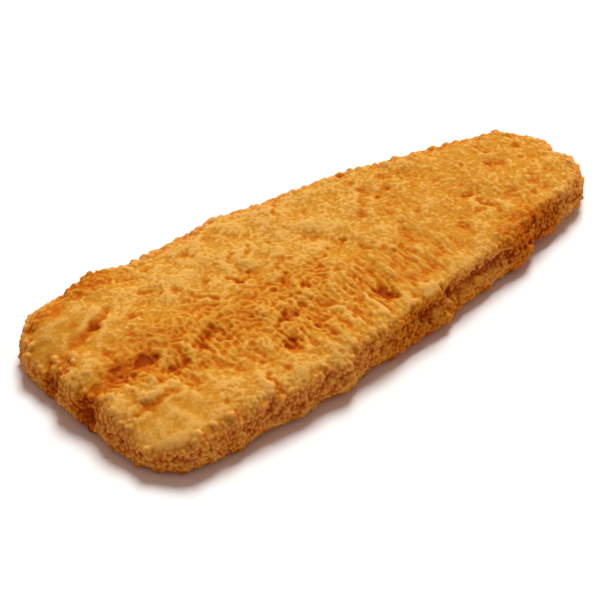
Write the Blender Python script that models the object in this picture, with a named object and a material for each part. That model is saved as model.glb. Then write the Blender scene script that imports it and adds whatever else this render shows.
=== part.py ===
"""A battered, deep-fried white fish fillet, as one solid.

Run it with: blender --background --python part.py, or from Blender's text editor.
Metres, +Z up. The fillet lies flat on its underside with its cut end at -X and its tail at +X,
and its origin is the middle of its bounding box, on the surface that it lies on.
"""

import math
from collections import namedtuple

import bmesh
import bpy
from mathutils import Vector, noise

MM = 0.001

# Overall size, which the finished shape is settled to.
LENGTH = 200 * MM
WIDTH = 86 * MM
THICKNESS = 17.5 * MM

# Plan outline: parallel sides from the cut end, then a taper to the tail.
HALF_WIDE = 40 * MM
HALF_TAIL = 17.5 * MM
TAPER_START = -32 * MM
TAPER_POWER = 1.4
CUT_CORNER = 15 * MM
TAIL_CORNER = 15.5 * MM
CUT_END_BULGE = 2.8 * MM
TAIL_SLANT = 0.8 * MM  # the -Y side of the tail reaches this much further than its middle
TAIL_NOTCH = (-1 * MM, 4 * MM, 3.6 * MM)  # place across, width and depth

# Section: a low crown over a wall whose height falls towards both ends.
CROWN = 16 * MM
NEAR_FALL = 1.9 * MM  # the top is this much lower by the -Y edge than at the middle
RIM = 11.5 * MM
FAR_SHOULDER = 10 * MM  # how far in from the outline the crown levels off, on the +Y side
NEAR_SHOULDER = 4 * MM  # and on the -Y side, where the lip is sharper
SHOULDER_POWER = 2.2
CUT_FALL = 0.1  # share of the height lost at the cut end
TAIL_FALL = 0.28
TAIL_SLOPE = 0.38  # share of the rim's height lost where the tail's -Y wall turns to a slope
SLOPE_START, SLOPE_END = 34 * MM, 72 * MM
SLOPE_SIDE = 18 * MM
CUT_SLOPE = 0.22  # and at the cut end, where both corners roll over
CUT_ROLL = 0.2  # share of the crown's height lost there
CUT_SLOPE_START, CUT_SLOPE_END = -76 * MM, -98 * MM
UPRIGHT_MIDDLE = (-4 * MM, 6 * MM, 22 * MM)  # between them it is upright: place and reaches across

# Wall, from foot to lip. Each band is centred at a share of the wall's height, and tapers off over
# another share of it.
FOOT_TUCK, FOOT_TAPER = 1.6 * MM, 0.25
TAIL_TUCK, TAIL_TAPER = 2 * MM, 0.4  # the foot tucks under further, and higher up, by the tail
SKIRT_OUT, SKIRT_AT = 0.9 * MM, 0.36
GROOVE_IN, GROOVE_AT = 0.9 * MM, 0.82
LIP_OUT, LIP_AT = 0.5 * MM, 1.0
SKIRT_TAPER, GROOVE_TAPER, LIP_TAPER = 0.22, 0.15, 0.1
GROOVE_LENGTH = 16 * MM  # it comes and goes along the wall, and fades out by both ends
GROOVE_MEAN = 0.6  # its mean share of the full depth
GROOVE_START, GROOVE_END, GROOVE_FADE = -80 * MM, 52 * MM, 14 * MM
OVERHANG = (24 * MM, 26 * MM, 3.4 * MM)  # the deep hollow under the -Y lip: x, half length, depth
LIP_RISE = 1.2 * MM  # and how much higher that lip is

# Grid of the shell, in cells along X, Y and Z.
CELLS = (78, 34, 7)

# Crust relief
FLAKE_PITCH = 8.5 * MM  # fish flakes show through the batter as low bands across the fillet
FLAKE_HEIGHT = 0.25 * MM
LUMP_SIZE = 9 * MM
LUMP_HEIGHT = 0.7 * MM
RIM_KNOB_SIZE = 6 * MM
RIM_KNOB_HEIGHT = 0.8 * MM
WALL_FACING = 0.8  # a point is on a wall where its normal leans less than this up or down
SOFTENING = 0.5
UNDERSIDE_HOLLOW = 0.9 * MM
RESTING_PATCH = 22 * MM  # radius of the flat middle that it always rests on

CRUST_COLOUR = (0.62, 0.26, 0.045, 1.0)
CRUST_ROUGHNESS = 0.62

# A fold is a long dent or swelling of the top: middle, length, width, height and turn from +X.
Fold = namedtuple("Fold", "x y length width height turn")
FOLDS = (
    Fold(-84 * MM, -36 * MM, 36 * MM, 22 * MM, 0.7 * MM, 10),  # cut end, -Y corner pad
    Fold(-84 * MM, 24 * MM, 30 * MM, 24 * MM, 0.8 * MM, 20),  # cut end, +Y corner pad
    Fold(-88 * MM, -5 * MM, 24 * MM, 9 * MM, -2.4 * MM, 8),  # valley that opens in the cut end
    Fold(-76 * MM, -11 * MM, 16 * MM, 9 * MM, -1.1 * MM, -35),
    Fold(-80 * MM, 17 * MM, 16 * MM, 5 * MM, -1.3 * MM, 22),
    Fold(-56 * MM, -9 * MM, 12 * MM, 5 * MM, -1.0 * MM, 25),
    Fold(-37 * MM, -26 * MM, 10 * MM, 6 * MM, -1.4 * MM, 5),
    Fold(-32 * MM, -16 * MM, 10 * MM, 5 * MM, -0.8 * MM, 10),
    Fold(-30 * MM, 8 * MM, 11 * MM, 5 * MM, -0.9 * MM, -25),
    Fold(-1 * MM, -25 * MM, 8 * MM, 6 * MM, -1.2 * MM, 15),
    Fold(0 * MM, 11 * MM, 7 * MM, 6 * MM, -0.8 * MM, 40),
    Fold(52 * MM, -5 * MM, 8 * MM, 7 * MM, -1.0 * MM, 0),
    Fold(72 * MM, 4 * MM, 9 * MM, 6 * MM, -0.8 * MM, -20),
    Fold(-57 * MM, -36 * MM, 7 * MM, 16 * MM, 1.3 * MM, -12),  # tongue of batter at the -Y edge
    Fold(-84 * MM, 42 * MM, 36 * MM, 26 * MM, -0.5 * MM, 0),  # low +Y corner
    Fold(-65 * MM, 38 * MM, 15 * MM, 8 * MM, 2.6 * MM, 0),  # blistered lump on the +Y edge
    Fold(56 * MM, -29 * MM, 9 * MM, 7 * MM, 1.4 * MM, 60),  # curled lobe of the -Y edge
    Fold(-44 * MM, 38 * MM, 44 * MM, 18 * MM, -0.8 * MM, 0),
    Fold(-16 * MM, 37 * MM, 7 * MM, 6 * MM, 1.6 * MM, 0),
)

# A flute is an upright hollow or rib of the cut end: place across, width and how far it goes in.
FLUTE_FOOT = 1 * MM  # height at which they start
FLUTE_FULL = 5 * MM  # and from which they have their full depth
Flute = namedtuple("Flute", "y width depth")
FLUTES = (
    Flute(13 * MM, 7 * MM, 2.2 * MM),
    Flute(4 * MM, 4 * MM, -1.2 * MM),
    Flute(-6 * MM, 8 * MM, 3.4 * MM),
    Flute(-15 * MM, 5 * MM, 1.2 * MM),
)

# A knob is a swelling of the long walls, or a nick where it is negative: place, side of Y and size.
Knob = namedtuple("Knob", "x side width out")
KNOBS = (
    Knob(-74 * MM, 1, 9 * MM, -2.2 * MM),
    Knob(-66 * MM, 1, 12 * MM, 1.6 * MM),
    Knob(-50 * MM, 1, 16 * MM, -1.8 * MM),
    Knob(-14 * MM, 1, 7 * MM, 1.2 * MM),
    Knob(38 * MM, 1, 6 * MM, 0.8 * MM),
    Knob(-69 * MM, -1, 8 * MM, 0.8 * MM),
    Knob(-48 * MM, -1, 9 * MM, 1.6 * MM),
    Knob(-30 * MM, -1, 7 * MM, 1.4 * MM),
    Knob(-18 * MM, -1, 7 * MM, -1.4 * MM),
    Knob(12 * MM, -1, 9 * MM, 1.2 * MM),
    Knob(53 * MM, -1, 13 * MM, 2.2 * MM),  # curled lobe
    Knob(63 * MM, -1, 6 * MM, -1.4 * MM),
    Knob(79 * MM, -1, 7 * MM, -1.0 * MM),
)


def bell(value, middle, half_width):
    """1 at the middle, falling smoothly to about 0 at twice the half width."""
    return math.exp(-(((value - middle) / half_width) ** 2))


def smooth(share):
    """An S-curve from 0 to 1."""
    share = min(1.0, max(0.0, share))
    return share * share * (3 - 2 * share)


def ripple(point, size, seed):
    """Smooth noise of about -1 to 1, whose bumps are size across."""
    return 1.6 * noise.noise(point / size + Vector((seed, 0.37 * seed, 0)))


# ---------------------------------------------------------------- plan and section


def half_width(x):
    share = max(0.0, (x - TAPER_START) / (LENGTH / 2 - TAPER_START))
    return HALF_WIDE - (HALF_WIDE - HALF_TAIL) * share**TAPER_POWER


def end_line(a, b):
    """x on the way from the cut end to the tail, at share b of the half width."""
    cut_end = -LENGTH / 2 + CUT_END_BULGE * b * b
    place, width, depth = TAIL_NOTCH
    notch = depth * bell(b * half_width(LENGTH / 2), place, width)
    tail = LENGTH / 2 - TAIL_SLANT * (1 + b) - notch
    share = (a + 1) / 2
    return cut_end + (tail - cut_end) * share


def plan(a, b):
    """Where grid point (a, b) lies in plan, and how far it is in from the outline."""
    x = end_line(a, b)
    half = half_width(x)
    y = b * half
    to_side = (1 - abs(b)) * half
    to_end = (1 - abs(a)) * LENGTH / 2
    corner = CUT_CORNER if a < 0 else TAIL_CORNER
    p = 1 - to_end / corner
    q = 1 - to_side / corner
    inset = min(to_side, to_end)
    if p > 0 and q > 0:
        round_p = p * math.sqrt(1 - q * q / 2)
        round_q = q * math.sqrt(1 - p * p / 2)
        x -= math.copysign((p - round_p) * corner, a)
        y -= math.copysign((q - round_q) * corner, b)
        inset = corner * (1 - math.hypot(round_p, round_q))
    return Vector((x, y, 0)), max(0.0, inset)


def outward(a, b):
    """The level direction that the wall faces at grid point (a, b) of the outline."""
    step = 0.02
    if abs(a) == abs(b) == 1:
        ends = plan(a * (1 - step), b), plan(a, b * (1 - step))
    elif abs(a) == 1:
        ends = plan(a, b - step), plan(a, b + step)
    else:
        ends = plan(a - step, b), plan(a + step, b)
    along = (ends[1][0] - ends[0][0]).normalized()
    way = Vector((along.y, -along.x, 0))
    return way if way.dot(plan(a, b)[0]) > 0 else -way


def height_share(x):
    """How much of the full height is left at x: the fillet thins towards its ends."""
    fall = CUT_FALL if x < 0 else TAIL_FALL
    return 1 - fall * abs(x / (LENGTH / 2)) ** 2.5


def tailward(place):
    """0 along most of the fillet, and 1 by the tail, where its walls change."""
    return smooth((place.x - SLOPE_START) / (SLOPE_END - SLOPE_START))


def crown(place, inset):
    """Height of the top, before its relief."""
    sloped = tailward(place) * smooth(-place.y / SLOPE_SIDE)
    middle, near, far = UPRIGHT_MIDDLE
    rolled = smooth((place.x - CUT_SLOPE_START) / (CUT_SLOPE_END - CUT_SLOPE_START))
    rolled *= smooth((abs(place.y - middle) - near) / (far - near))
    rim = RIM * (1 - TAIL_SLOPE * sloped - CUT_SLOPE * rolled)
    if place.y < 0:
        rim += LIP_RISE * bell(place.x, *OVERHANG[:2])
    shoulder = FAR_SHOULDER + (NEAR_SHOULDER - FAR_SHOULDER) * smooth(-place.y / SLOPE_SIDE)
    rise = 1 - (1 - min(1.0, inset / shoulder)) ** SHOULDER_POWER
    top = CROWN * (1 - CUT_ROLL * rolled) - NEAR_FALL * smooth(-2 * place.y / WIDTH)
    return (rim + (top - rim) * rise) * height_share(place.x)


def groove_in(place):
    """Depth of the groove along the wall, deepest under the overhanging lip."""
    x, half_length, depth = OVERHANG
    started = smooth((place.x - GROOVE_START) / GROOVE_FADE)
    ended = smooth((place.x - GROOVE_END) / GROOVE_FADE)
    groove = GROOVE_IN * started * (1 - ended) * max(0.0, GROOVE_MEAN + ripple(place, GROOVE_LENGTH, 61))
    if place.y < 0:
        groove += depth * bell(place.x, x, half_length)
    return groove


def foot_tuck(place):
    return FOOT_TUCK + TAIL_TUCK * tailward(place)


def wall_out(place, h):
    """How far the wall stands out at share h of its height: tucked foot, skirt, groove and lip."""
    out = -foot_tuck(place) * (1 - smooth(h / (FOOT_TAPER + TAIL_TAPER * tailward(place))))
    out += SKIRT_OUT * bell(h, SKIRT_AT, SKIRT_TAPER)
    out -= groove_in(place) * bell(h, GROOVE_AT, GROOVE_TAPER)
    out += LIP_OUT * bell(h, LIP_AT, LIP_TAPER)
    return out + sum(k.out * bell(place.x, k.x, k.width / 2) for k in KNOBS if k.side * place.y > 0)


# ---------------------------------------------------------------- relief of the crust


def fold_height(fold, place):
    turn = math.radians(fold.turn)
    dx = place.x - fold.x
    dy = place.y - fold.y
    along = dx * math.cos(turn) + dy * math.sin(turn)
    across = dy * math.cos(turn) - dx * math.sin(turn)
    return fold.height * bell(along, 0, fold.length / 2) * bell(across, 0, fold.width / 2)


def flake_bands(place):
    """Low bands across the fillet, wavy, and strongest in the -Y half."""
    bend = 0.5 * FLAKE_PITCH * ripple(place, 26 * MM, 11)
    wave = math.sin(2 * math.pi * (place.x + bend) / FLAKE_PITCH)
    share = smooth(0.55 - place.y / (60 * MM) + 0.5 * ripple(place, 18 * MM, 23))
    return FLAKE_HEIGHT * share * wave


def top_relief(place):
    lumps = LUMP_HEIGHT * ripple(place, LUMP_SIZE, 5)
    folds = sum(fold_height(fold, place) for fold in FOLDS)
    return lumps + folds + flake_bands(place)


def wall_relief(place):
    return RIM_KNOB_HEIGHT * ripple(place, RIM_KNOB_SIZE, 31)


def flute_depth(place):
    """How far the cut end's flutes push a wall point in towards +X."""
    near_end = smooth((-0.78 * LENGTH / 2 - place.x) / (0.14 * LENGTH / 2))
    upright = smooth((place.z - FLUTE_FOOT) / (FLUTE_FULL - FLUTE_FOOT))
    return near_end * upright * sum(f.depth * bell(place.y, f.y, f.width / 2) for f in FLUTES)


def underside_relief(place):
    """Shallow hollows, never below the resting plane, with a flat patch in the middle."""
    away = smooth((math.hypot(place.x, place.y) - RESTING_PATCH) / RESTING_PATCH)
    return max(0.0, UNDERSIDE_HOLLOW * away * ripple(place, 15 * MM, 47))


# ---------------------------------------------------------------- the solid


def box_grid(cells):
    """A closed box from -1 to 1 on every axis, cut into a grid of quads."""
    grid = bmesh.new()
    bmesh.ops.create_cube(grid, size=2)
    for axis in range(3):
        along = [e for e in grid.edges if abs(e.verts[0].co[axis] - e.verts[1].co[axis]) > 1]
        bmesh.ops.subdivide_edges(grid, edges=along, cuts=cells[axis] - 1, use_grid_fill=True)
    return grid


def coarsen_underside(grid):
    """Takes out every other line of the grid underneath, where the crust is nearly flat."""
    spare = []
    for edge in grid.edges:
        low, high = (vert.co for vert in edge.verts)
        if low.z > -1 or high.z > -1:
            continue
        across = 0 if abs(low.x - high.x) < 0.5 / CELLS[0] else 1
        line = round((low[across] + 1) / 2 * CELLS[across])
        if line % 2 and 0 < line < CELLS[across]:
            spare.append(edge)
    bmesh.ops.dissolve_edges(grid, edges=spare, use_verts=True)


def drawn_in(place):
    """An underside point, as far in as the tucked foot around it."""
    tuck = foot_tuck(place)
    return Vector((place.x * (1 - 2 * tuck / LENGTH), place.y * (1 - tuck / half_width(place.x)), 0))


def shell_point(a, b, c):
    """Where a point of the box grid goes on the smooth fillet."""
    place, inset = plan(a, b)
    share = (c + 1) / 2
    if abs(a) == 1 or abs(b) == 1:
        place += outward(a, b) * wall_out(place, share)
        inset = 0.0
    elif c == -1:
        place = drawn_in(place)
    place.z = share * crown(place, inset)
    return place


def raise_relief(mesh):
    """Moves each point out along its normal by the relief of the side that it is on."""
    mesh.normal_update()
    moves = []
    for vert in mesh.verts:
        up = smooth(vert.normal.z * 1.5)
        level = 1 - abs(vert.normal.z)
        away = vert.normal * (top_relief(vert.co) * up + wall_relief(vert.co) * level)
        away.x += flute_depth(vert.co) * level
        moves.append(away)
    for vert, away in zip(mesh.verts, moves):
        vert.co += away


def soften_walls(mesh):
    """Rounds the knobs off, which batter does."""
    walls = [vert for vert in mesh.verts if abs(vert.normal.z) < WALL_FACING]
    bmesh.ops.smooth_vert(
        mesh, verts=walls, factor=SOFTENING, use_axis_x=True, use_axis_y=True, use_axis_z=False
    )


def flatten_underside(mesh, underside):
    for vert in underside:
        vert.co.z = underside_relief(vert.co)
    for vert in mesh.verts:
        vert.co.z = max(0.0, vert.co.z)


def settle_to_size(mesh):
    """Scales the shape to its stated size, with the origin under the middle of its box."""
    low = Vector([min(v.co[i] for v in mesh.verts) for i in range(3)])
    high = Vector([max(v.co[i] for v in mesh.verts) for i in range(3)])
    for vert in mesh.verts:
        for i, size in enumerate((LENGTH, WIDTH, THICKNESS)):
            start = 0.0 if i == 2 else -size / 2
            vert.co[i] = start + (vert.co[i] - low[i]) * size / (high[i] - low[i])


def crust_material():
    material = bpy.data.materials.new("fried_crust")
    material.use_nodes = True
    shader = material.node_tree.nodes["Principled BSDF"]
    shader.inputs["Base Color"].default_value = CRUST_COLOUR
    shader.inputs["Roughness"].default_value = CRUST_ROUGHNESS
    shader.inputs["Metallic"].default_value = 0.0
    return material


def fish_fillet():
    mesh = box_grid(CELLS)
    coarsen_underside(mesh)
    mesh.verts.ensure_lookup_table()
    underside = [vert for vert in mesh.verts if vert.co.z == -1]
    for vert in mesh.verts:
        vert.co = shell_point(*vert.co)
    raise_relief(mesh)
    soften_walls(mesh)
    flatten_underside(mesh, underside)
    settle_to_size(mesh)
    bmesh.ops.recalc_face_normals(mesh, faces=mesh.faces)
    data = bpy.data.meshes.new("fish_fillet")
    mesh.to_mesh(data)
    mesh.free()
    data.materials.append(crust_material())
    data.shade_smooth()
    fillet = bpy.data.objects.new("fish_fillet", data)
    bpy.context.scene.collection.objects.link(fillet)
    return fillet


def main():
    for old in list(bpy.data.objects):
        bpy.data.objects.remove(old)
    fish_fillet()


main()
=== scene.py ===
import math
from collections import namedtuple

import bmesh
import bpy
import numpy as np
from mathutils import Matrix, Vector


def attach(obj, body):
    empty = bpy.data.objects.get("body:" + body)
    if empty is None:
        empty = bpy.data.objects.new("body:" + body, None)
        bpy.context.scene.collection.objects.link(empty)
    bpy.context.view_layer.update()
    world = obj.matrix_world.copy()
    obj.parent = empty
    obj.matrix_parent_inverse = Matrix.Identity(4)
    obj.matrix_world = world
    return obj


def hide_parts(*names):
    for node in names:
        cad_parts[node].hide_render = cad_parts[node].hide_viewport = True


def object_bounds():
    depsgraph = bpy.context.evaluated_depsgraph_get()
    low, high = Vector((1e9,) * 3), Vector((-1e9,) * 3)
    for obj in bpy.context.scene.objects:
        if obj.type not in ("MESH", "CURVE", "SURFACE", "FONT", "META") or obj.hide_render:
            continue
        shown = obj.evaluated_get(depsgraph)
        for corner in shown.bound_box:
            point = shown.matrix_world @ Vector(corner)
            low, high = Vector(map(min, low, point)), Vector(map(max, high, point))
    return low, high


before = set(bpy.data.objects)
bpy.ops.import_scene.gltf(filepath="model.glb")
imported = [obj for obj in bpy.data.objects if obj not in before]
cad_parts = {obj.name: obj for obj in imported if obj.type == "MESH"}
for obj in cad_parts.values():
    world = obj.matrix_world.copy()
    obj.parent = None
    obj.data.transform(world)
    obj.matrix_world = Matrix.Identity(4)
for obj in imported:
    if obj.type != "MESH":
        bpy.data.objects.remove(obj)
cadLow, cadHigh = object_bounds()
mm = 0.001
print("frame loaded, CAD box in mm:", [round((h - l) / mm, 1) for l, h in zip(cadLow, cadHigh)])


# small helpers for node trees, used by the geometry and the materials alike

def addNode(tree, kind, inputs=None, **settings):
    node = tree.nodes.new(kind)
    for name, value in settings.items():
        setattr(node, name, value)
    for socket, value in (inputs or {}).items():
        if isinstance(value, bpy.types.NodeSocket):
            tree.links.new(value, node.inputs[socket])
        else:
            node.inputs[socket].default_value = value
    return node


def calc(tree, operation, *values):
    return addNode(tree, "ShaderNodeMath", dict(enumerate(values)), operation=operation).outputs[0]


def times(tree, *values):
    result = values[0]
    for value in values[1:]:
        result = calc(tree, "MULTIPLY", result, value)
    return result


def vectorCalc(tree, operation, a, b):
    return addNode(tree, "ShaderNodeVectorMath", {0: a, 1: b}, operation=operation).outputs[0]


def total(tree, *values):
    result = values[0]
    for value in values[1:]:
        result = calc(tree, "ADD", result, value)
    return result


def between(tree, value, low, high, start=0.0, end=1.0):
    # an S-curve from start to end as value goes from low to high
    inputs = {"From Min": low, "From Max": high, "To Min": start, "To Max": end, "Value": value}
    return addNode(tree, "ShaderNodeMapRange", inputs, interpolation_type="SMOOTHSTEP").outputs[0]


def noiseAt(tree, place, size, seed=0.0, detail=1.0, warp=0.0):
    # smooth noise of about -1 to 1, with bumps of about that size
    spot = vectorCalc(tree, "ADD", place, (seed, 0.7 * seed, 0.0))
    scale = calc(tree, "DIVIDE", 1.0, size)
    noise = addNode(tree, "ShaderNodeTexNoise",
                    {"Vector": spot, "Scale": scale, "Detail": detail, "Distortion": warp})
    return calc(tree, "MULTIPLY_ADD", noise.outputs[0], 4.0, -2.0)


def cellsAt(tree, place, size, seed=0.0):
    # rounded cells: distance from each cell's middle, and its own colour
    spot = vectorCalc(tree, "ADD", place, (seed, 0.3 * seed, 0.0))
    scale = calc(tree, "DIVIDE", 1.0, size)
    return addNode(tree, "ShaderNodeTexVoronoi", {"Vector": spot, "Scale": scale})


def store(tree, body, name, value):
    # keeps a value at every point of the mesh, for the material to read
    inputs = {"Geometry": body, "Name": name, "Value": value}
    return addNode(tree, "GeometryNodeStoreNamedAttribute", inputs, data_type="FLOAT",
                   domain="POINT").outputs[0]


def rimFacing(tree, normal, steps):
    # the upward part of the normal, evened out; lower on the far and tail rims, which brown further in
    around = addNode(tree, "GeometryNodeBlurAttribute", {"Iterations": steps}, data_type="FLOAT_VECTOR")
    tree.links.new(normal, around.inputs["Value"])
    lean = addNode(tree, "ShaderNodeSeparateXYZ", {0: around.outputs[0]}).outputs
    back = calc(tree, "MAXIMUM", calc(tree, "MAXIMUM", lean["X"], lean["Y"]), 0.0)
    return calc(tree, "MULTIPLY_ADD", back, -0.8, lean["Z"])


def painted(tree, body, material):
    smooth = addNode(tree, "GeometryNodeSetShadeSmooth", {"Geometry": body})
    real = addNode(tree, "GeometryNodeRealizeInstances", {"Geometry": smooth.outputs[0]})
    return addNode(tree, "GeometryNodeSetMaterial",
                   {"Geometry": real.outputs[0], "Material": material}).outputs[0]


def newTree(name, kind, inputs, outputs):
    tree = bpy.data.node_groups.new(name, kind)
    for title, socket, default in inputs:
        item = tree.interface.new_socket(title, in_out="INPUT", socket_type=socket)
        if default is not None:
            item.default_value = default
    for title, socket in outputs:
        tree.interface.new_socket(title, in_out="OUTPUT", socket_type=socket)
    return tree, tree.nodes.new("NodeGroupInput").outputs, tree.nodes.new("NodeGroupOutput").inputs


def setInputs(modifier, values):
    for item in modifier.node_group.interface.items_tree:
        if item.item_type == "SOCKET" and item.in_out == "INPUT" and item.name in values:
            modifier[item.identifier] = values[item.name]


def plainMesh(source, name):
    # the evaluated result as an ordinary mesh object, with nothing live on it
    graph = bpy.context.evaluated_depsgraph_get()
    mesh = bpy.data.meshes.new_from_object(source.evaluated_get(graph), depsgraph=graph)
    mesh.name = name
    piece = bpy.data.objects.new(name, mesh)
    bpy.context.scene.collection.objects.link(piece)
    return piece


def nodesModifier(piece, name, tree, values):
    modifier = piece.modifiers.new(name, "NODES")
    modifier.node_group = tree
    setInputs(modifier, values)
    return modifier


# colours of the fried batter, shared by every piece

batterColours = {
    "pale": (0.7, 0.375, 0.08),
    "golden": (0.59, 0.25, 0.021),
    "brown": (0.52, 0.126, 0.005),
    "dark": (0.31, 0.042, 0.001),
    # pale sandy tips on the walls: partly drier batter, partly painted highlights
    "sandy": (0.78, 0.265, 0.09),
}


# How brown the batter is at rest, and how much browner or paler each thing makes it; the relief and
# grain weights also paint shade into hollows and highlights onto raised tips.
frying = {
    "rest": 0.4, "relief": 0.45, "wall": 0.41, "stain": 0.32, "patches": 0.08, "mottle": 0.07,
    # the grain's raised tips are paler, partly as painted highlights, and more so on the walls
    "grain": -0.12, "grainOnWall": -0.26,
}
# the stretch of browning and painted shade over which the batter turns to each colour
turning = {"Golden": (0.1, 0.45), "Brown": (0.45, 0.85), "Dark": (0.85, 1.4)}
batterMasks = ("Cavity", "Wall", "Stain", "Grain")
batterFinish = {
    "IOR": 1.3, "Specular IOR Level": 0.03,
    "Subsurface Weight": 0.5, "Subsurface Radius": (1.0, 0.4, 0.1), "Subsurface Scale": 1.6 * mm,
}


def batterShades():
    # how far the batter is fried at each point, with painted shade and highlights from its relief, and
    # the grain that all of it has
    colour = "NodeSocketColor"
    number = "NodeSocketFloat"
    inputs = [(name.title(), colour, (*value, 1.0)) for name, value in batterColours.items()]
    inputs += [(name, number, 0.0) for name in batterMasks]
    inputs += [("Patch Size", number, 14 * mm), ("Speck Size", number, 0.4 * mm)]
    outputs = [("Color", colour), ("Roughness", number), ("Height", number)]
    tree, given, result = newTree("batter shades", "ShaderNodeTree", inputs, outputs)
    place = addNode(tree, "ShaderNodeTexCoord").outputs["Object"]
    patches = noiseAt(tree, place, given["Patch Size"], 3.0, 2.0)
    mottle = noiseAt(tree, place, calc(tree, "MULTIPLY", given["Patch Size"], 0.12), 9.0, 2.0)
    specks = noiseAt(tree, place, given["Speck Size"], 7.0, 1.0)
    grain = calc(tree, "MULTIPLY_ADD", specks, 0.1, given["Grain"])
    # hollows get darker, partly browner batter and partly painted shade, and raised spots paler as
    # painted highlights, up to a limit
    relief = calc(tree, "MAXIMUM", given["Cavity"], -0.7)
    # the grain's pale tips, partly painted highlights, show more on the walls
    shown = calc(tree, "MULTIPLY_ADD", given["Wall"], frying["grainOnWall"], frying["grain"])
    causes = {"relief": relief, "wall": given["Wall"], "stain": given["Stain"],
              "patches": patches, "mottle": mottle}
    # browning with painted shade and highlights: near 0 on the palest tips, and above 1 in the deepest
    # hollows
    fried = total(tree, *(times(tree, cause, frying[name]) for name, cause in causes.items()),
                  times(tree, grain, shown), frying["rest"])
    shade = given["Pale"]
    for name, (low, high) in turning.items():
        mix = {"Factor": between(tree, fried, low, high), 6: shade, 7: given[name]}
        shade = addNode(tree, "ShaderNodeMix", mix, data_type="RGBA").outputs[2]
    # the tips of the grains on the walls are drier and sandier, with painted highlights in that sandy
    # colour, away from the stains
    tips = times(tree, between(tree, given["Grain"], 0.1, 0.9, 0.05, 0.5), given["Wall"],
                 between(tree, given["Stain"], 0.8, -0.8, 0.0, 2.0))
    shade = addNode(tree, "ShaderNodeMix", {"Factor": tips, 6: shade, 7: given["Sandy"]},
                    data_type="RGBA").outputs[2]
    tree.links.new(shade, result["Color"])
    # the tips of the grains are a little smoother than the gaps
    tree.links.new(between(tree, grain, 0.0, 1.0, 0.62, 0.46), result["Roughness"])
    tree.links.new(grain, result["Height"])
    return tree


def batterMaterial(name, shades, grainHeight):
    material = bpy.data.materials.new(name)
    material.use_nodes = True
    tree = material.node_tree
    shader = tree.nodes["Principled BSDF"]
    group = addNode(tree, "ShaderNodeGroup", {}, node_tree=shades)
    for title in batterMasks:
        mask = addNode(tree, "ShaderNodeAttribute", attribute_name=title.lower()).outputs["Fac"]
        tree.links.new(mask, group.inputs[title])
    bump = addNode(tree, "ShaderNodeBump", {"Height": group.outputs["Height"], "Distance": grainHeight})
    tree.links.new(group.outputs["Color"], shader.inputs["Base Color"])
    tree.links.new(group.outputs["Roughness"], shader.inputs["Roughness"])
    tree.links.new(bump.outputs[0], shader.inputs["Normal"])
    for title, value in batterFinish.items():
        shader.inputs[title].default_value = value
    return material


# the crust: one skin over the whole fillet, taken from the CAD solid and given its relief

crust = {
    "weld": 0.001 * mm,
    "voxel": 0.54 * mm,
    "smoothing": 3,
    "bump": 0.045 * mm,
    "triangles": 185000,
    "Lump Size": 5 * mm, "Lump Height": 0.24 * mm,
    "Ridge Spacing": 1.35 * mm, "Ridge Length": 4.5 * mm, "Ridge Height": 0.31 * mm,
    "Crinkle Size": 2.8 * mm, "Crinkle Height": 0.4 * mm,
    "Puff Size": 1.6 * mm, "Puff Height": 0.3 * mm,
    "Grain Spacing": 1.3 * mm, "Grain Height": 0.12 * mm,
    "Pit Spacing": 7.5 * mm, "Pit Depth": 0.45 * mm,
    "Seed": 4.0,
    # tried on each square metre, far more than the spacing lets through
    "grainTries": 4e6,
    # steps over the mesh that a hollow is measured across, and how much each reach counts
    "reaches": ((4, 1.4), (16, 1.4), (60, 0.8)),
}
# how much each thing stains the batter, or paints shade or light on it; below 0 where it is paler
stains = {
    "pits": 0.9, "browned": 1.3, "fair": -0.3, "crested": 0.5, "foot": 1.2, "dry": -0.7, "toasted": 0.25,
}

# Zones seen from above. Centre and reach are shares of the fillet's half length and half width.
Zone = namedtuple("Zone", "x y reachX reachY")
zones = {
    # smooth pads at both corners of the cut end
    "calm": (Zone(-0.86, -0.74, 0.17, 0.28), Zone(-0.88, 0.5, 0.16, 0.35)),
    # where the top is palest: on the far half, and on the pad at the near corner of the cut end, where
    # the paleness is painted light because the pad leans away from the lamp
    "fair": (Zone(-0.15, 0.4, 0.5, 0.45), Zone(-0.86, -0.74, 0.1, 0.16)),
    # crinkled flakes
    "busy": (Zone(-0.62, -0.12, 0.36, 0.32), Zone(-0.25, -0.3, 0.3, 0.5)),
    # ridges side by side
    "ridged": (Zone(-0.1, -0.5, 0.5, 0.42), Zone(-0.6, -0.3, 0.2, 0.25)),
    # a blister by the far rim, and bubbles on the slope of the tail
    "bubbly": (Zone(-0.67, 0.84, 0.11, 0.14), Zone(0.64, -0.66, 0.18, 0.16)),
    # brown spots along the rims and the cut end
    "browned": (Zone(-0.68, 0.84, 0.1, 0.18), Zone(-0.87, -0.08, 0.16, 0.1),
                Zone(-0.85, 0.76, 0.08, 0.08), Zone(0.63, -0.64, 0.18, 0.2)),
    # a little browner than the rest
    "toasted": (Zone(0.62, 0.1, 0.42, 0.8), Zone(-0.55, -0.1, 0.35, 0.45)),
    # paler, drier batter at the tip of the tail
    "dry": (Zone(1.0, 0.05, 0.07, 0.55),),
    # painted shade in the hollows of the walls
    "hollow": (Zone(0.2, -0.92, 0.34, 0.16), Zone(-0.96, 0.28, 0.06, 0.14),
               Zone(-0.96, -0.1, 0.07, 0.16)),
}

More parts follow.
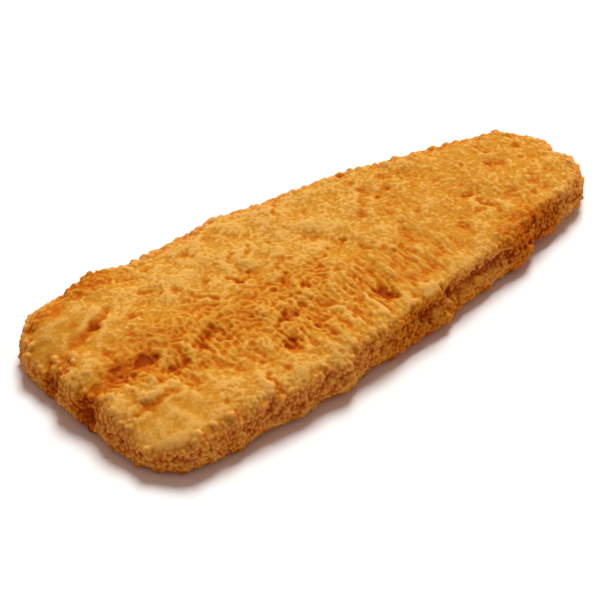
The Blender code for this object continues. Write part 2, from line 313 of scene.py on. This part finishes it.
# The folds that show most. Both ends are hundredths of the fillet's half length and half width,
# width is mm, and a crease has a rise below 0.
Fold = namedtuple("Fold", "x1 y1 x2 y2 width rise")
folds = (
    Fold(-87, 38, -79, 40, 1.5, -1.0),      # long crease by the far corner of the cut end
    Fold(-79, 40, -71, 49, 1.4, -0.9),
    Fold(-58, 48, -55, 48, 1.1, -0.7),
    Fold(-66, 30, -64, 27, 1.1, -0.7),
    Fold(-46, 21, -43, 9, 0.9, -0.6),
    Fold(-77, -9, -73, -11, 1.6, -1.1),     # hollow behind the curl
    Fold(-84, -17, -82, -28, 1.4, -0.7),
    Fold(-73, -30, -66, -30, 1.3, -0.7),
    Fold(-87, -24, -86, -39, 1.0, 0.6),     # curl of batter near the cut end, and its shadow line
    Fold(-86, -41, -76, -41, 1.1, 0.9),
    Fold(-90, -48, -77, -49, 1.0, -0.8),
    Fold(-61, -24, -53, -15, 1.3, -0.9),
    Fold(-66, -14, -67, -32, 0.8, -0.5),
    Fold(-63, -16, -64, -34, 0.8, 0.4),
    Fold(-46, -34, -44, -37, 1.6, -0.5),
    Fold(-71, -53, -71, -77, 1.8, -0.5),
    Fold(-52, -79, -54, -95, 1.1, -0.7),    # tongue over the near rim
    Fold(-55, -80, -56, -94, 1.3, 0.6),
    Fold(-38, -62, -36, -63, 1.8, -1.0),
    Fold(-35, -41, -29, -35, 1.1, -0.8),
    Fold(-25, -53, -19, -60, 1.2, -0.6),
    Fold(-17, -55, -16, -75, 1.2, 0.9),
    Fold(-14, -58, -13, -68, 1.3, -0.6),
    Fold(-1, -57, 0, -62, 2.0, -1.1),
    Fold(-6, -48, -6, -78, 0.9, 0.5),
    Fold(4, -74, 3, -84, 1.2, 0.6),         # fingers over the lip
    Fold(11, -68, 11, -84, 1.2, 0.6),
    Fold(17, -76, 17, -83, 1.1, 0.5),
    Fold(-37, 62, -36, 61, 1.5, -0.8),
    Fold(-27, 66, -22, 73, 1.2, -0.7),
    Fold(-28, 29, -26, 40, 1.2, -0.8),
    Fold(-23, 33, -19, 40, 1.1, -0.6),
    Fold(-33, 21, -32, 14, 1.0, -0.8),
    Fold(-32, 14, -28, 15, 1.0, -0.8),
    Fold(-18, 9, -14, 13, 1.4, -0.7),
    Fold(-19, -2, -22, -14, 1.0, -0.7),
    Fold(-2, 55, 1, 67, 0.9, -0.6),
    Fold(0, 24, 6, 3, 1.3, -0.5),
    Fold(21, 21, 28, 40, 1.3, -0.7),
    Fold(37, 44, 38, 45, 1.3, -0.6),
    Fold(53, -9, 54, -10, 1.4, -0.8),
    Fold(55, -22, 57, -42, 1.1, -0.7),
    Fold(51, -31, 52, -32, 1.3, -0.5),
    Fold(41, -38, 42, -38, 1.3, -0.5),
    Fold(71, 9, 75, 5, 1.2, -0.7),
)
# Spread is in widths, the lip's place and width are in spreads, and the rest goes with the rise.
foldShape = {"spread": 1.25, "height": 0.5, "lip": 0.2, "lipPlace": 1.8, "lipWidth": 0.8, "stain": 0.8}


def zoneMask(tree, share, spots):
    # 1 inside the spots, fading to 0 at their edge
    mask = 0.0
    for spot in spots:
        away = vectorCalc(tree, "SUBTRACT", share, (spot.x, spot.y, 0.0))
        away = vectorCalc(tree, "DIVIDE", away, (spot.reachX, spot.reachY, 1.0))
        away = addNode(tree, "ShaderNodeVectorMath", {0: away}, operation="LENGTH").outputs["Value"]
        mask = calc(tree, "MAXIMUM", mask, between(tree, away, 1.25, 0.5))
    return mask


def crustMasks(tree, place, facing):
    # where the top, the walls and the zones are, and the painted shade at the foot, each from 0 to 1
    masks = {"up": between(tree, facing, 0.3, 0.8), "under": between(tree, facing, -0.3, -0.8)}
    wall = calc(tree, "SUBTRACT", 1.0, masks["up"])
    masks["wall"] = calc(tree, "SUBTRACT", wall, masks["under"])
    height = addNode(tree, "ShaderNodeSeparateXYZ", {0: place}).outputs["Z"]
    # painted shade low on the walls, darkest where they meet the floor
    masks["foot"] = between(tree, height, 5 * mm, 0.5 * mm)
    # the zones have wandering edges
    aside = noiseAt(tree, place, 5 * mm, 31.0, 1.0)
    aside = {"X": times(tree, aside, 1.2 * mm), "Y": times(tree, aside, 2 * mm)}
    flat = vectorCalc(tree, "ADD", place, addNode(tree, "ShaderNodeCombineXYZ", aside).outputs[0])
    flat = vectorCalc(tree, "MULTIPLY", flat, (1 / cadHigh.x, 1 / cadHigh.y, 0.0))
    for name in ("calm", "fair", "busy", "ridged", "browned", "toasted", "dry", "hollow"):
        masks[name] = zoneMask(tree, flat, zones[name])
    crested = calc(tree, "MAXIMUM", masks["ridged"], masks["busy"])
    masks["crested"] = times(tree, crested, masks["up"])
    return masks


def crustPits(tree, given, seeded, masks):
    # burst bubbles leave small pits, in some of the cells only
    spots = cellsAt(tree, seeded, given["Pit Spacing"], 8.0)
    chance = addNode(tree, "ShaderNodeSeparateXYZ", {0: spots.outputs["Color"]}).outputs
    reach = calc(tree, "MULTIPLY_ADD", chance["Y"], 0.18, 0.11)
    pits = between(tree, calc(tree, "DIVIDE", spots.outputs["Distance"], reach), 1.4, 0.0)
    return times(tree, pits, calc(tree, "GREATER_THAN", chance["X"], 0.3), masks["up"])


def crustForms(tree, given, place, seeded, masks, pits):
    # how far the ridges, crinkles, puffs and pits stand out or sink in
    # ridges run across the fillet on its near half
    narrow = calc(tree, "DIVIDE", given["Ridge Length"], given["Ridge Spacing"])
    stretch = addNode(tree, "ShaderNodeCombineXYZ", {"X": narrow, "Y": 1.0, "Z": 1.0}).outputs[0]
    stretched = vectorCalc(tree, "MULTIPLY", place, stretch)
    ridges = noiseAt(tree, stretched, given["Ridge Length"], 2.0, 0.5, 0.4)
    ridges = times(tree, ridges, given["Ridge Height"], masks["ridged"], masks["up"])
    # crests that wind about, with wider hollows between them
    crests = noiseAt(tree, seeded, given["Crinkle Size"], 11.0, 0.0, 0.3)
    crests = between(tree, calc(tree, "ABSOLUTE", crests), 0.0, 1.0, 0.5, -0.5)
    busier = calc(tree, "MULTIPLY_ADD", masks["busy"], 0.85, 0.15)
    crinkles = times(tree, crests, given["Crinkle Height"], busier)
    # small puffs that stand up one by one, lower among the crests
    puffs = between(tree, noiseAt(tree, seeded, given["Puff Size"], 14.0, 0.5), -0.4, 1.2)
    lower = calc(tree, "MULTIPLY_ADD", masks["crested"], -0.6, 1.0)
    puffs = times(tree, puffs, given["Puff Height"], lower)
    return total(tree, ridges, crinkles, puffs, times(tree, pits, given["Pit Depth"], -1.0))


def crustGrain(tree, given, masks, rough):
    # grains of batter, packed side by side all over, fainter on the pads and among the crests
    grains = addNode(tree, "GeometryNodeDistributePointsOnFaces",
                     {"Mesh": given["Geometry"], "Distance Min": given["Grain Spacing"]},
                     distribute_method="POISSON")
    grains.inputs["Density Max"].default_value = crust["grainTries"]
    nearest = addNode(tree, "GeometryNodeProximity", {0: grains.outputs["Points"]},
                      target_element="POINTS")
    apart = calc(tree, "DIVIDE", nearest.outputs["Distance"], given["Grain Spacing"])
    shown = calc(tree, "MULTIPLY_ADD", rough, 0.6, 0.4)
    shown = calc(tree, "SUBTRACT", shown, times(tree, masks["crested"], 0.4))
    return times(tree, between(tree, apart, 0.8, 0.0), shown)


def crustStain(tree, masks, pits):
    # what browns or pales the batter apart from its relief: creases and pits partly as painted shade,
    # the wall hollows and the foot as painted shade, and the near pad of the cut end as painted light
    folded = addNode(tree, "GeometryNodeInputNamedAttribute", {"Name": "stain"}, data_type="FLOAT")
    up = masks["up"]
    # the folds' creases and the pits are darker, partly browning and partly painted shade
    return total(tree, folded.outputs[0], times(tree, pits, stains["pits"]),
                 times(tree, masks["browned"], stains["browned"]),
                 # painted shade in the hollows of the walls, off the top
                 times(tree, masks["hollow"], calc(tree, "SUBTRACT", 1.0, up)),
                 # paler on the far half of the top, and painted light on the pad at the near corner of
                 # the cut end
                 times(tree, masks["fair"], up, stains["fair"]),
                 times(tree, masks["crested"], stains["crested"]),
                 # painted shade along the foot, by the floor
                 times(tree, masks["foot"], stains["foot"]),
                 times(tree, masks["dry"], stains["dry"]),
                 times(tree, masks["toasted"], up, stains["toasted"]))


def crustCavity(tree, normal):
    # how far each point lies below its surroundings, over short and long reaches
    place = addNode(tree, "GeometryNodeInputPosition").outputs[0]
    cavity = 0.0
    for steps, weight in crust["reaches"]:
        blurred = addNode(tree, "GeometryNodeBlurAttribute", {"Iterations": steps},
                          data_type="FLOAT_VECTOR")
        tree.links.new(place, blurred.inputs["Value"])
        gap = vectorCalc(tree, "SUBTRACT", blurred.outputs[0], place)
        below = addNode(tree, "ShaderNodeVectorMath", {0: gap, 1: normal}, operation="DOT_PRODUCT")
        cavity = calc(tree, "MULTIPLY_ADD", below.outputs["Value"], weight / mm, cavity)
    return cavity


def reliefTree():
    number = "NodeSocketFloat"
    inputs = [("Geometry", "NodeSocketGeometry", None)]
    inputs += [(name, number, value) for name, value in crust.items() if name[0].isupper()]
    inputs += [("Material", "NodeSocketMaterial", None)]
    tree, given, result = newTree("crust relief", "GeometryNodeTree", inputs,
                                  [("Geometry", "NodeSocketGeometry")])
    place = addNode(tree, "GeometryNodeInputPosition").outputs[0]
    normal = addNode(tree, "GeometryNodeInputNormal").outputs[0]
    facing = addNode(tree, "ShaderNodeSeparateXYZ", {0: normal}).outputs["Z"]
    shift = addNode(tree, "ShaderNodeCombineXYZ", {"X": given["Seed"]}).outputs[0]
    seeded = vectorCalc(tree, "ADD", place, shift)
    masks = crustMasks(tree, place, facing)
    rough = calc(tree, "MULTIPLY_ADD", times(tree, masks["calm"], masks["up"]), -0.75, 1.0)
    pits = crustPits(tree, given, seeded, masks)
    grain = crustGrain(tree, given, masks, rough)
    body = store(tree, given["Geometry"], "grain", grain)
    body = store(tree, body, "stain", crustStain(tree, masks, pits))

    lumps = times(tree, noiseAt(tree, seeded, given["Lump Size"], 1.0, 1.0), given["Lump Height"])
    # the grain stands up further on the walls
    taller = calc(tree, "MULTIPLY_ADD", masks["wall"], 1.8, 1.0)
    beading = times(tree, grain, given["Grain Height"], taller)
    forms = crustForms(tree, given, place, seeded, masks, pits)
    raised = total(tree, lumps, beading, times(tree, forms, rough))
    raised = times(tree, raised, calc(tree, "SUBTRACT", 1.0, masks["under"]))
    offset = addNode(tree, "ShaderNodeVectorMath", {0: normal, "Scale": raised}, operation="SCALE")
    offset = offset.outputs[0]
    body = addNode(tree, "GeometryNodeSetPosition", {"Geometry": body, "Offset": offset}).outputs[0]
    level = rimFacing(tree, normal, 16)
    rim = times(tree, between(tree, level, 0.95, 0.35), between(tree, facing, -0.9, -0.5))
    # the depth of each point, which the colour turns into browning and painted shade in hollows and
    # painted highlights on tips
    body = store(tree, body, "cavity", crustCavity(tree, normal))
    body = store(tree, body, "wall", rim)
    tree.links.new(painted(tree, body, given["Material"]), result["Geometry"])
    return tree


def pressFolds(piece):
    # a crease sinks in between low lips, and a ridge stands up between shallow hollows
    mesh = piece.data
    count = len(mesh.vertices)
    place = np.empty(count * 3)
    normal = np.empty(count * 3)
    mesh.vertices.foreach_get("co", place)
    mesh.vertices.foreach_get("normal", normal)
    place = place.reshape(-1, 3)
    normal = normal.reshape(-1, 3)
    x, y = place[:, 0] / mm, place[:, 1] / mm
    # no fold is quite straight
    wavyX = x + 0.6 * np.sin(0.8 * y + 0.4 * x) + 0.25 * np.sin(1.7 * y - 0.9 * x)
    wavyY = y + 0.6 * np.sin(0.7 * x - 0.5 * y) + 0.25 * np.sin(1.5 * x + 1.1 * y)
    halfLength, halfWidth = cadHigh.x / mm, cadHigh.y / mm
    height = np.zeros(count)
    stain = np.zeros(count)
    for fold in folds:
        startX, startY = fold.x1 / 100 * halfLength, fold.y1 / 100 * halfWidth
        runX, runY = (fold.x2 - fold.x1) / 100 * halfLength, (fold.y2 - fold.y1) / 100 * halfWidth
        along = ((wavyX - startX) * runX + (wavyY - startY) * runY) / (runX ** 2 + runY ** 2)
        along = np.clip(along, 0, 1)
        away = np.hypot(wavyX - startX - along * runX, wavyY - startY - along * runY)
        away /= foldShape["spread"] * fold.width
        middle = np.exp(-away ** 2)
        lip = np.exp(-((away - foldShape["lipPlace"]) / foldShape["lipWidth"]) ** 2)
        height += foldShape["height"] * fold.rise * (middle - foldShape["lip"] * lip)
        # creases turn darker and ridges paler, partly browning and partly painted shade and highlights
        stain -= foldShape["stain"] * fold.rise * middle
    facing = np.clip((normal[:, 2] - 0.3) * 3, 0, 1)
    place += normal * (height * facing * mm)[:, None]
    # no fold or bead goes below the surface that the fillet lies on
    place[:, 2] = np.maximum(place[:, 2], 0.0)
    mesh.vertices.foreach_set("co", place.ravel())
    mesh.attributes.new("stain", "FLOAT", "POINT").data.foreach_set("value", stain * facing)
    mesh.update()


# beads of batter on the walls and rims, which the skin then runs over

beads = {
    "Spacing": 1.8 * mm, "Least": 0.5 * mm, "Most": 1.4 * mm, "Sink": 0.45, "Roundness": 2,
    "On Wall": 1.0, "On Top": 0.7, "Evenness": 0, "Seed": 3,
}
# loose crumbs, low on the walls
crumbs = {
    "Spacing": 2.0 * mm, "Least": 0.25 * mm, "Most": 0.5 * mm, "Sink": 0.1, "Roundness": 1,
    "On Wall": 0.8, "On Top": 0.0, "Lowest": mm, "Highest": 8 * mm,
    "Evenness": 16, "Seed": 8,
}
# the form of every bead and crumb, and how they gather
beadShape = {
    # tried on each square metre, more than the spacing lets through
    "tries": 2e6,
    "driftSize": 7 * mm,
    "leastStretch": (0.8, 0.8, 0.7), "mostStretch": (1.3, 1.3, 1.1),
    "wanderSize": 1.6 * mm, "wander": 0.6 * mm,
}


def beadShare(tree, given):
    # how likely a bead is at each place, from 0 to 1
    normal = addNode(tree, "GeometryNodeInputNormal").outputs[0]
    place = addNode(tree, "GeometryNodeInputPosition").outputs[0]
    facing = addNode(tree, "ShaderNodeSeparateXYZ", {0: normal}).outputs["Z"]
    level = rimFacing(tree, normal, given["Evenness"])
    top = between(tree, level, 0.6, 0.85)
    wall = times(tree, calc(tree, "SUBTRACT", 1.0, top), between(tree, facing, -0.8, -0.6))
    flat = vectorCalc(tree, "MULTIPLY", place, (1 / cadHigh.x, 1 / cadHigh.y, 0.0))
    bubbly = times(tree, top, zoneMask(tree, flat, zones["bubbly"]))
    # beads gather in drifts
    drift = between(tree, noiseAt(tree, place, beadShape["driftSize"], 21.0, 1.0), -0.7, 0.7, 0.3, 1.0)
    share = total(tree, times(tree, wall, given["On Wall"]), times(tree, bubbly, given["On Top"]))
    height = addNode(tree, "ShaderNodeSeparateXYZ", {0: place}).outputs["Z"]
    return times(tree, share, drift, calc(tree, "LESS_THAN", height, given["Highest"]),
                 calc(tree, "GREATER_THAN", height, given["Lowest"]))


def sunkBeads(tree, given, points):
    # a squashed ball at each point, sunk part of the way into the skin
    ball = addNode(tree, "GeometryNodeMeshIcoSphere",
                   {"Radius": 1.0, "Subdivisions": given["Roundness"]})
    size = addNode(tree, "FunctionNodeRandomValue", {"Seed": given["Seed"]}, data_type="FLOAT")
    tree.links.new(given["Least"], size.inputs[2])
    tree.links.new(given["Most"], size.inputs[3])
    stretch = {0: beadShape["leastStretch"], 1: beadShape["mostStretch"]}
    squash = addNode(tree, "FunctionNodeRandomValue", stretch, data_type="FLOAT_VECTOR")
    scale = addNode(tree, "ShaderNodeVectorMath", {0: squash.outputs[0], "Scale": size.outputs[1]},
                    operation="SCALE").outputs[0]
    placed = addNode(tree, "GeometryNodeInstanceOnPoints",
                     {"Points": points.outputs["Points"], "Instance": ball.outputs[0],
                      "Rotation": points.outputs["Rotation"], "Scale": scale})
    depth = times(tree, size.outputs[1], given["Sink"], -1.0)
    sunk = addNode(tree, "ShaderNodeCombineXYZ", {"Z": depth}).outputs[0]
    lowered = addNode(tree, "GeometryNodeTranslateInstances",
                      {"Instances": placed.outputs[0], "Translation": sunk, "Local Space": True})
    return addNode(tree, "GeometryNodeRealizeInstances", {"Geometry": lowered.outputs[0]}).outputs[0]


def bentBeads(tree, body):
    # no two beads alike
    place = addNode(tree, "GeometryNodeInputPosition").outputs[0]
    wander = addNode(tree, "ShaderNodeTexNoise",
                     {"Vector": place, "Scale": 1 / beadShape["wanderSize"], "Detail": 0.0})
    wander = vectorCalc(tree, "SUBTRACT", wander.outputs["Color"], (0.5, 0.5, 0.5))
    wander = vectorCalc(tree, "MULTIPLY", wander, (beadShape["wander"],) * 3)
    return addNode(tree, "GeometryNodeSetPosition", {"Geometry": body, "Offset": wander}).outputs[0]


def beadTree(name, keepSkin):
    number = "NodeSocketFloat"
    inputs = [("Geometry", "NodeSocketGeometry", None), ("Spacing", number, 2 * mm),
              ("Least", number, 0.5 * mm), ("Most", number, mm), ("Sink", number, 0.4),
              ("Roundness", "NodeSocketInt", 2), ("On Wall", number, 1.0), ("On Top", number, 0.0),
              ("Lowest", number, -mm), ("Highest", number, 20 * mm), ("Evenness", "NodeSocketInt", 0),
              ("Seed", "NodeSocketInt", 1), ("Material", "NodeSocketMaterial", None)]
    tree, given, result = newTree(name, "GeometryNodeTree", inputs,
                                  [("Geometry", "NodeSocketGeometry")])
    points = addNode(tree, "GeometryNodeDistributePointsOnFaces",
                     {"Mesh": given["Geometry"], "Distance Min": given["Spacing"],
                      "Density Factor": beadShare(tree, given), "Seed": given["Seed"]},
                     distribute_method="POISSON")
    points.inputs["Density Max"].default_value = beadShape["tries"]
    body = bentBeads(tree, sunkBeads(tree, given, points))
    if keepSkin:
        joined = addNode(tree, "GeometryNodeJoinGeometry")
        tree.links.new(body, joined.inputs[0])
        tree.links.new(given["Geometry"], joined.inputs[0])
        body = joined.outputs[0]
    tree.links.new(painted(tree, body, given["Material"]), result["Geometry"])
    return tree


def crustPiece(material):
    form = bmesh.new()
    form.from_mesh(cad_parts["fish_fillet"].data)
    bmesh.ops.remove_doubles(form, verts=form.verts, dist=crust["weld"])
    mesh = bpy.data.meshes.new("crust_form")
    form.to_mesh(mesh)
    form.free()
    source = bpy.data.objects.new("crust_form", mesh)
    bpy.context.scene.collection.objects.link(source)
    even = source.modifiers.new("Even", "SUBSURF")
    even.levels = even.render_levels = 1
    nodesModifier(source, "Beads", beadTree("batter beads", True), beads)
    skin = source.modifiers.new("Skin", "REMESH")
    skin.mode = "VOXEL"
    skin.voxel_size = crust["voxel"]
    soften = source.modifiers.new("Soften", "SMOOTH")
    soften.iterations = crust["smoothing"]
    smooth = plainMesh(source, "crust_smooth")
    bpy.data.objects.remove(source)
    pressFolds(smooth)
    values = {name: value for name, value in crust.items() if name[0].isupper()}
    values["Material"] = material
    nodesModifier(smooth, "Relief", reliefTree(), values)
    piece = plainMesh(smooth, "fried_crust")
    bpy.data.objects.remove(smooth)
    return piece


def countTriangles(piece):
    return sum(len(p.vertices) - 2 for p in piece.data.polygons)


def thinUnderside(piece, target):
    # the flat underside needs few faces, so the rest can have many
    low = [v.index for v in piece.data.vertices if v.normal.z < -0.8 and v.co.z < 2 * mm]
    group = piece.vertex_groups.new(name="underside")
    group.add(low, 1.0, "REPLACE")
    thin = piece.modifiers.new("Thin", "DECIMATE")
    thin.vertex_group = group.name
    thin.ratio = min(1.0, target / countTriangles(piece))
    result = plainMesh(piece, piece.name + "_thin")
    name = piece.name
    bpy.data.objects.remove(piece)
    result.name = result.data.name = name
    return result


def crumbPiece(skin, material):
    source = bpy.data.objects.new("crumb_source", skin.data.copy())
    bpy.context.scene.collection.objects.link(source)
    nodesModifier(source, "Crumbs", beadTree("loose crumbs", False), {**crumbs, "Material": material})
    piece = plainMesh(source, "batter_crumbs")
    bpy.data.objects.remove(source)
    return piece


shades = batterShades()
batter = batterMaterial("fried crust", shades, crust["bump"])
crustSkin = crustPiece(batter)
print("crust relief:", countTriangles(crustSkin), "triangles")
crumbGrains = crumbPiece(crustSkin, batter)
crustSkin = thinUnderside(crustSkin, crust["triangles"])
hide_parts("fish_fillet")
for piece in (crustSkin, crumbGrains):
    print(piece.name, countTriangles(piece), "triangles")
    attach(piece, "root")


# floor, light and camera

studio = {
    "floor": 6.0,
    "floorColour": (0.92, 0.92, 0.92),
    "worldColour": (1.0, 0.7, 0.59), "worldStrength": 0.33,
    "keyColour": (0.97, 1.02, 1.03),
    "keyStrength": 3.4, "keySpread": 26, "keyAzimuth": 128, "keyHeight": 55,
    "azimuth": -40, "elevation": 38, "distance": 0.85, "lens": 165,
    "aim": (-0.016, -0.0045, 0.0076),
}


def direction(azimuth, elevation):
    # from the object out to that side; azimuth 0 is on the -Y side and 90 on the +X side
    a, e = math.radians(azimuth), math.radians(elevation)
    return Vector((math.sin(a) * math.cos(e), -math.cos(a) * math.cos(e), math.sin(e)))


def addFloor():
    half = studio["floor"] / 2
    mesh = bpy.data.meshes.new("floor")
    mesh.from_pydata([(-half, -half, 0), (half, -half, 0), (half, half, 0), (-half, half, 0)], [],
                     [(0, 1, 2, 3)])
    floor = bpy.data.objects.new("floor", mesh)
    bpy.context.scene.collection.objects.link(floor)
    material = bpy.data.materials.new("plain floor")
    material.use_nodes = True
    shader = material.node_tree.nodes["Principled BSDF"]
    shader.inputs["Base Color"].default_value = (*studio["floorColour"], 1.0)
    shader.inputs["Roughness"].default_value = 0.9
    mesh.materials.append(material)


def addLight():
    light = bpy.data.lights.new("key", "SUN")
    light.energy = studio["keyStrength"]
    light.color = studio["keyColour"]
    light.angle = math.radians(studio["keySpread"])
    key = bpy.data.objects.new("key", light)
    bpy.context.scene.collection.objects.link(key)
    key.rotation_mode = "QUATERNION"
    towards = direction(studio["keyAzimuth"], studio["keyHeight"])
    key.rotation_quaternion = towards.to_track_quat("Z", "Y")
    world = bpy.data.worlds.new("soft room")
    world.use_nodes = True
    background = world.node_tree.nodes["Background"]
    background.inputs["Color"].default_value = (*studio["worldColour"], 1.0)
    background.inputs["Strength"].default_value = studio["worldStrength"]
    bpy.context.scene.world = world


def addCamera():
    camera = bpy.data.objects.new("camera", bpy.data.cameras.new("camera"))
    bpy.context.scene.collection.objects.link(camera)
    out = direction(studio["azimuth"], studio["elevation"])
    camera.location = Vector(studio["aim"]) + out * studio["distance"]
    camera.rotation_mode = "QUATERNION"
    camera.rotation_quaternion = out.to_track_quat("Z", "Y")
    camera.data.lens = studio["lens"]
    camera.data.sensor_width = 36
    camera.data.clip_start = 0.01
    bpy.context.scene.camera = camera


addFloor()
addLight()
addCamera()
bpy.context.scene.view_settings.view_transform = "Standard"
print("floor, light and camera placed")
